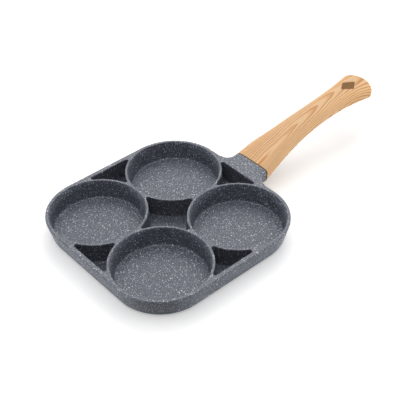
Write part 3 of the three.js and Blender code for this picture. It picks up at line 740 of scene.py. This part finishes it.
class Nodes:
    """Short ways to add and join the nodes of a material or the world."""

    def __init__(self, owner):
        owner.use_nodes = True
        self.tree = owner.node_tree

    def add(self, kind, **settings):
        node = self.tree.nodes.new(kind)
        for name, value in settings.items():
            setattr(node, name, value)
        return node

    def put(self, socket, value):
        """Feeds a socket from another socket or sets it."""
        if isinstance(value, bpy.types.NodeSocket):
            self.tree.links.new(value, socket)
        else:
            socket.default_value = value

    def math(self, operation, first, second=0.0, third=0.0):
        node = self.add("ShaderNodeMath", operation=operation)
        for socket, value in zip(node.inputs, (first, second, third)):
            self.put(socket, value)
        return node.outputs[0]

    def scaled(self, vector, factors):
        node = self.add("ShaderNodeVectorMath", operation="MULTIPLY")
        self.put(node.inputs[0], vector)
        node.inputs[1].default_value = factors
        return node.outputs[0]

    def noise(self, vector, scale, detail):
        node = self.add("ShaderNodeTexNoise")
        self.put(node.inputs["Vector"], vector)
        node.inputs["Scale"].default_value = scale
        node.inputs["Detail"].default_value = detail
        return node.outputs["Fac"]

    def remap(self, value, low, high, to_low=0.0, to_high=1.0, kind="SMOOTHSTEP"):
        node = self.add("ShaderNodeMapRange", interpolation_type=kind)
        for name, entry in (
            ("Value", value),
            ("From Min", low),
            ("From Max", high),
            ("To Min", to_low),
            ("To Max", to_high),
        ):
            self.put(node.inputs[name], entry)
        return node.outputs["Result"]

    def mix(self, factor, first, second):
        node = self.add("ShaderNodeMix", data_type="RGBA")
        self.put(node.inputs[0], factor)
        for socket, value in zip(node.inputs[6:8], (first, second)):
            self.put(socket, value if isinstance(value, bpy.types.NodeSocket) else (*value, 1))
        return node.outputs[2]

    def seen(self):
        """One where the camera looks, straight, by a mirror or through glass, and zero for other light."""
        path = self.add("ShaderNodeLightPath").outputs
        seen = self.math("MAXIMUM", path["Is Camera Ray"], path["Is Glossy Ray"])
        return self.math("MAXIMUM", seen, path["Is Transmission Ray"])


class Finish(Nodes):
    """The nodes of a material, with its shader and the position on the part in millimetres."""

    def __init__(self, name):
        self.material = bpy.data.materials.new(name)
        super().__init__(self.material)
        self.shader = self.tree.nodes["Principled BSDF"]
        place = self.add("ShaderNodeTexCoord").outputs["Object"]
        self.position = self.scaled(place, (1 / MM, 1 / MM, 1 / MM))

    def feed(self, name, value):
        """Feeds one of the shader's inputs or sets it."""
        self.put(self.shader.inputs[name], value)

    def axes(self):
        """The position's three coordinates."""
        split = self.add("ShaderNodeSeparateXYZ")
        self.put(split.inputs[0], self.position)
        return split.outputs

    def cells(self, size):
        """Cells of a size in millimetres: two chance values of each, and the distance from its middle."""
        node = self.add("ShaderNodeTexVoronoi", feature="F1", voronoi_dimensions="3D")
        self.put(node.inputs["Vector"], self.position)
        node.inputs["Scale"].default_value = 1 / size
        split = self.add("ShaderNodeSeparateColor")
        self.put(split.inputs[0], node.outputs["Color"])
        return split.outputs[0], split.outputs[1], node.outputs["Distance"]

    def relief(self, height, depth):
        """Raises the surface where a height is one, by a depth in millimetres."""
        node = self.add("ShaderNodeBump")
        node.inputs["Distance"].default_value = depth * MM
        self.put(node.inputs["Height"], height)
        self.feed("Normal", node.outputs["Normal"])


def specks(nodes, cell, share, radius):
    """One in round specks, which lie in a share of the cells and have their own sizes up to a radius."""
    keep, own_size, distance = nodes.cells(cell)
    reach = nodes.remap(own_size, 0, 1, 0.4 * radius / cell, radius / cell, "LINEAR")
    inside = nodes.remap(distance, nodes.math("MULTIPLY", reach, 0.6), reach, 1, 0)
    return nodes.math("MULTIPLY", inside, nodes.math("LESS_THAN", keep, share))


def painted_pocket_shade_mask(nodes):
    """Where shade is painted: one in the star and triangle pockets, with soft borders: off the cups' rings,
    the rim and the wall.
    """
    x, y, z = nodes.axes()
    x = nodes.math("ABSOLUTE", x)
    y = nodes.math("ABSOLUTE", y)
    beside_x = nodes.math("SUBTRACT", x, CUP_CENTRE)
    beside_y = nodes.math("SUBTRACT", y, CUP_CENTRE)
    squared = nodes.math("MULTIPLY_ADD", beside_x, beside_x, nodes.math("MULTIPLY", beside_y, beside_y))
    outside = nodes.remap(nodes.math("SQRT", squared), RING_RADIUS - 1, RING_RADIUS)
    below = nodes.remap(z, RIM_HEIGHT - 2, RIM_HEIGHT - 0.5, 1, 0)
    inside = nodes.remap(nodes.math("MAXIMUM", x, y), POCKET_EDGE, POCKET_EDGE + 0.5, 1, 0)
    return nodes.math("MULTIPLY", nodes.math("MULTIPLY", outside, below), inside)


def stone_coating():
    """Slate-grey coating of fine grains and light specks, with painted shade in the pockets and a painted
    highlight with some wear on the rim.
    """
    nodes = Finish("stone_coating")
    grain = nodes.cells(GRAIN_SIZE)[0]
    colour = nodes.mix(nodes.math("POWER", grain, 2), GRAIN_DARK, GRAIN_PALE)
    # Painted highlight with some wear: the rim's top and round-over, and the lug's top above it, turn paler
    rim_highlight_and_wear = nodes.remap(nodes.axes()[2], RIM_HEIGHT - 0.5, RIM_HEIGHT - 0.1, 0, RIM_HIGHLIGHT_AND_WEAR)
    colour = nodes.mix(rim_highlight_and_wear, colour, RIM_LIT_AND_WORN_COLOUR)
    for cell, share, radius, speck_colour in SPECKS:
        colour = nodes.mix(specks(nodes, cell, share, radius), colour, speck_colour)
    # Painted shade: the pockets' colour is pulled towards near black, for the shade in these deep narrow
    # recesses
    painted_shade = nodes.math("MULTIPLY", painted_pocket_shade_mask(nodes), PAINTED_POCKET_SHADE)
    colour = nodes.mix(painted_shade, colour, PAINTED_POCKET_SHADE_COLOUR)
    nodes.feed("Base Color", colour)
    nodes.feed("Roughness", nodes.remap(grain, 0, 1, *COATING_ROUGHNESS))
    nodes.feed("Specular IOR Level", COATING_GLOSS)
    nodes.relief(nodes.noise(nodes.position, scale=0.8, detail=3), COATING_RELIEF)
    return nodes.material


def growth_rings(nodes):
    """Growth rings around a pith below the handle's top, which draw narrow arches along it.

    Returns the count of rings out from the pith, the distance aside from it, and the place to its left.
    """
    x, y, z = nodes.axes()
    share = nodes.remap(x, HANDLE_FACE, GRAIN_END, kind="LINEAR")
    rest = nodes.math("SUBTRACT", 1, share)
    # The further a point lies below the handle's top, the further aside it counts
    fallen = nodes.math("POWER", rest, 2.2)
    top = nodes.math("MULTIPLY_ADD", fallen, -HANDLE_RISE, GRAIN_TOP)
    drop = nodes.math("MAXIMUM", nodes.math("SUBTRACT", top, z), 0)
    around = nodes.math("MULTIPLY", y, nodes.math("MULTIPLY_ADD", drop, SIDE_STRETCH, 1))
    # The pith crosses the handle and sways
    sway = nodes.noise(nodes.scaled(nodes.position, (0.04, 0.13, 0.13)), scale=1, detail=2)
    bent = nodes.math("MULTIPLY_ADD", sway, PITH_SWAY, nodes.math("SUBTRACT", around, PITH_SWAY / 2))
    left = nodes.math("ADD", bent, nodes.math("MULTIPLY_ADD", share, -PITH_CROSSING, PITH_START))
    # Rings crowd on the right, most of all beside the pith near the joint, and on the left near the end
    right = nodes.math("MULTIPLY", left, -1)
    crowding = nodes.math("MULTIPLY", nodes.math("POWER", rest, 5), 2)
    crowded = nodes.math("MULTIPLY", nodes.math("MINIMUM", right, 4), crowding)
    right_reach = nodes.math("MULTIPLY_ADD", right, RIGHT_CROWDING, crowded)
    left_reach = nodes.math("MULTIPLY", left, nodes.math("MULTIPLY_ADD", share, LEFT_CROWDING, 1))
    # They spread out again at the very end
    spread = nodes.math("MULTIPLY_ADD", nodes.math("POWER", share, 5), -END_SPREAD, 1)
    aside = nodes.math("MULTIPLY", nodes.math("MAXIMUM", left_reach, right_reach), spread)
    depth = nodes.math("MULTIPLY_ADD", nodes.math("POWER", share, 1.45), PITH_DEEPENING, PITH_DEPTH)
    squared = nodes.math("MULTIPLY_ADD", aside, aside, nodes.math("MULTIPLY", depth, depth))
    rings = nodes.math("MULTIPLY_ADD", nodes.math("SQRT", squared), RINGS_PER_MM, FIRST_RING)
    return rings, aside, left


def ring_lines(nodes, rings, weakest):
    """Late wood of the rings, each with its own strength: a slow ripening and the dark line that ends it."""
    phase = nodes.math("FRACT", rings)
    chance = nodes.add("ShaderNodeTexWhiteNoise", noise_dimensions="1D")
    nodes.put(chance.inputs["W"], nodes.math("FLOOR", rings))
    strength = nodes.remap(chance.outputs["Value"], 0, 1, weakest, 1, "LINEAR")
    edge = nodes.remap(phase, 0.94, 1, 1, 0)
    ripe = nodes.math("MULTIPLY", nodes.remap(phase, 0.3, 0.8), edge)
    line = nodes.math("MULTIPLY", nodes.remap(phase, 0.62, 0.88), edge)
    return nodes.math("MULTIPLY", ripe, strength), nodes.math("MULTIPLY", line, strength)


def hanging_hole_mask(nodes):
    """One inside the hanging hole, where the bare moulding shows, fading into the print on the lip."""
    x, y, _ = nodes.axes()
    beside = nodes.math("ABSOLUTE", nodes.math("SUBTRACT", x, HOLE_CENTRE))
    along = nodes.math("DIVIDE", beside, HOLE_HALF_LENGTH)
    across = nodes.math("DIVIDE", nodes.math("ABSOLUTE", y), HOLE_HALF_WIDTH)
    return nodes.remap(nodes.math("ADD", along, across), 1.04, 1.12, 1, 0)


def wood_grain():
    """Light beech-coloured grain print with orange late wood and darker lines."""
    nodes = Finish("wood_grain")
    rings, aside, left = growth_rings(nodes)
    along = nodes.axes()[0]
    fibres = nodes.noise(nodes.scaled(nodes.position, (0.03, 0.9, 0.9)), scale=1, detail=3)
    colour = nodes.mix(fibres, WOOD_DEEP, WOOD_PALE)
    # Late wood is ripest near the pith along the handle, and at the sides around the hole
    ripe, line = ring_lines(nodes, rings, 0.6)
    near_pith = nodes.remap(aside, 1, 8, 1, 0.25)
    near_sides = nodes.remap(aside, 0, 8, 0.35, 1)
    ripest = nodes.remap(along, HOLE_CENTRE - 40, HOLE_CENTRE, near_pith, near_sides)
    colour = nodes.mix(nodes.math("MULTIPLY", ripe, ripest), colour, WOOD_RIPE)
    # Fine lines fade out from the joint to the middle of the handle and are weaker right of the pith
    away = nodes.remap(aside, 0, 8, 0.2, 1)
    near_joint = nodes.remap(along, HANDLE_FACE, HANDLE_FACE + HANDLE_LENGTH / 2, 0.9, 0.15)
    fine = ring_lines(nodes, nodes.math("MULTIPLY", rings, 1.7), 0.1)[1]
    fine = nodes.math("MULTIPLY", fine, nodes.remap(left, -3, 1, 0.35, 1))
    fine = nodes.math("MULTIPLY", fine, nodes.math("MULTIPLY", away, near_joint))
    colour = nodes.mix(fine, colour, WOOD_LINE)
    # The lines that end the rings soften towards the hole
    softer = nodes.remap(along, HANDLE_FACE + HANDLE_LENGTH / 3, HOLE_CENTRE, 1, 0.5)
    line = nodes.math("MULTIPLY", line, softer)
    colour = nodes.mix(nodes.math("MULTIPLY", line, away), colour, WOOD_LINE)
    colour = nodes.mix(hanging_hole_mask(nodes), colour, WOOD_BARE)
    nodes.feed("Base Color", colour)
    nodes.feed("Roughness", nodes.remap(fibres, 0.3, 0.7, *WOOD_ROUGHNESS))
    nodes.feed("Specular IOR Level", WOOD_GLOSS)
    nodes.relief(fibres, WOOD_RELIEF)
    return nodes.material


def clouded(name, scale, detail, colours, roughness, depth):
    """Plain finish with faint clouds in its colour, roughness and relief."""
    nodes = Finish(name)
    cloud = nodes.noise(nodes.position, scale, detail)
    nodes.feed("Base Color", nodes.mix(cloud, *colours))
    nodes.feed("Roughness", nodes.remap(cloud, 0.3, 0.7, *roughness))
    nodes.relief(cloud, depth)
    return nodes


def dark_gasket():
    """Matt dark gasket sheet."""
    return clouded("dark_gasket", 0.9, 2, GASKET_COLOURS, GASKET_ROUGHNESS, GASKET_RELIEF).material


def plated_steel():
    """Plain zinc-plated steel."""
    nodes = clouded("plated_steel", 0.7, 3, STEEL_COLOURS, STEEL_ROUGHNESS, STEEL_RELIEF)
    nodes.feed("Metallic", 1)
    return nodes.material


def camera():
    """Camera solved from the photograph: the target is the middle of the rim plane."""
    azimuth = math.radians(CAMERA_AZIMUTH)
    elevation = math.radians(CAMERA_ELEVATION)
    roll = math.radians(CAMERA_ROLL)
    back = Vector(
        (
            math.sin(azimuth) * math.cos(elevation),
            -math.cos(azimuth) * math.cos(elevation),
            math.sin(elevation),
        )
    )
    level = Vector((math.cos(azimuth), math.sin(azimuth), 0))
    upright = back.cross(level)
    right = math.cos(roll) * level + math.sin(roll) * upright
    up = -math.sin(roll) * level + math.cos(roll) * upright
    per_pixel = CAMERA_DISTANCE / CAMERA_FOCAL
    place = Vector((0, 0, RIM_HEIGHT)) + back * CAMERA_DISTANCE
    place += up * CAMERA_SHIFT[1] * per_pixel - right * CAMERA_SHIFT[0] * per_pixel
    data = bpy.data.cameras.new("photo_camera")
    data.sensor_width = SENSOR_WIDTH
    data.lens = CAMERA_FOCAL * SENSOR_WIDTH / FRAME_PIXELS
    item = bpy.data.objects.new("photo_camera", data)
    bpy.context.scene.collection.objects.link(item)
    item.matrix_world = Matrix.Translation(place * MM) @ Matrix((right, up, back)).transposed().to_4x4()
    bpy.context.scene.camera = item


def soft_light(name, place, target, width, height, watts, glints=True):
    """Rectangular lamp that faces a target, with places and sizes in metres."""
    data = bpy.data.lights.new(name, "AREA")
    data.shape = "RECTANGLE"
    data.size = width
    data.size_y = height
    data.energy = watts
    item = bpy.data.objects.new(name, data)
    bpy.context.scene.collection.objects.link(item)
    item.location = place
    item.visible_glossy = glints
    item.rotation_euler = (Vector(target) - Vector(place)).to_track_quat("-Z", "Y").to_euler()


def floor():
    """White floor that glows a little where it is seen, which lifts the pan's shadow, and fully far away."""
    corners = at_height(mirror_places(FLOOR_HALF, FLOOR_HALF), 0)
    piece = make("floor", (corners, [(0, 1, 2, 3)]))
    nodes = Finish("white_floor")
    seen = nodes.seen()
    cloud = nodes.noise(nodes.position, scale=0.003, detail=2)
    nodes.feed("Base Color", nodes.mix(seen, FLOOR_BOUNCE, nodes.mix(cloud, *FLOOR_COLOURS)))
    nodes.feed("Roughness", 0.9)
    nodes.feed("Specular IOR Level", 0.1)
    nodes.feed("Emission Color", (1, 1, 1, 1))
    distance = nodes.add("ShaderNodeVectorMath", operation="LENGTH")
    nodes.put(distance.inputs[0], nodes.position)
    glow = nodes.remap(distance.outputs["Value"], GLOW_NEAR, GLOW_FAR, FLOOR_GLOW, 1)
    nodes.feed("Emission Strength", nodes.math("MULTIPLY", seen, glow))
    piece.data.materials.append(nodes.material)


def studio():
    """Plain soft studio light: a large lamp overhead, one behind, and low strips that leave no glints."""
    world = bpy.data.worlds.new("studio")
    bpy.context.scene.world = world
    nodes = Nodes(world)
    background = nodes.tree.nodes["Background"]
    background.inputs["Color"].default_value = (1, 1, 1, 1)
    nodes.put(background.inputs["Strength"], nodes.remap(nodes.seen(), 0, 1, WORLD_LIGHT, 1))
    soft_light("overhead", place=(0, 0, 1.3), target=(0, 0, 0), width=2.2, height=2, watts=19)
    soft_light("behind", place=(0.75, 0.65, 1), target=(0, 0, 0), width=1.2, height=1, watts=7.5)
    strip = {"target": (0, 0, 0.03), "width": 1, "height": 0.16, "glints": False}
    soft_light("left_strip", place=(-0.95, 0.85, 0.09), watts=12.8, **strip)
    soft_light("right_strip", place=(0.85, -0.95, 0.09), watts=11.2, **strip)
    bpy.context.scene.view_settings.view_transform = "Standard"


def dress(piece, material, node):
    """Gives a piece its finish and puts it in its CAD node's place."""
    piece.data.materials.clear()
    piece.data.materials.append(material)
    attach(piece, "root")
    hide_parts(node)


steel = plated_steel()
dress(pan_body(), stone_coating(), "pan_body")
dress(neck_gasket(), dark_gasket(), "neck_gasket")
dress(handle(), wood_grain(), "handle")
dress(handle_screw(), steel, "handle_screw")
dress(lock_washer(), steel, "lock_washer")
dress(flat_washer(), steel, "flat_washer")
floor()
studio()
camera()
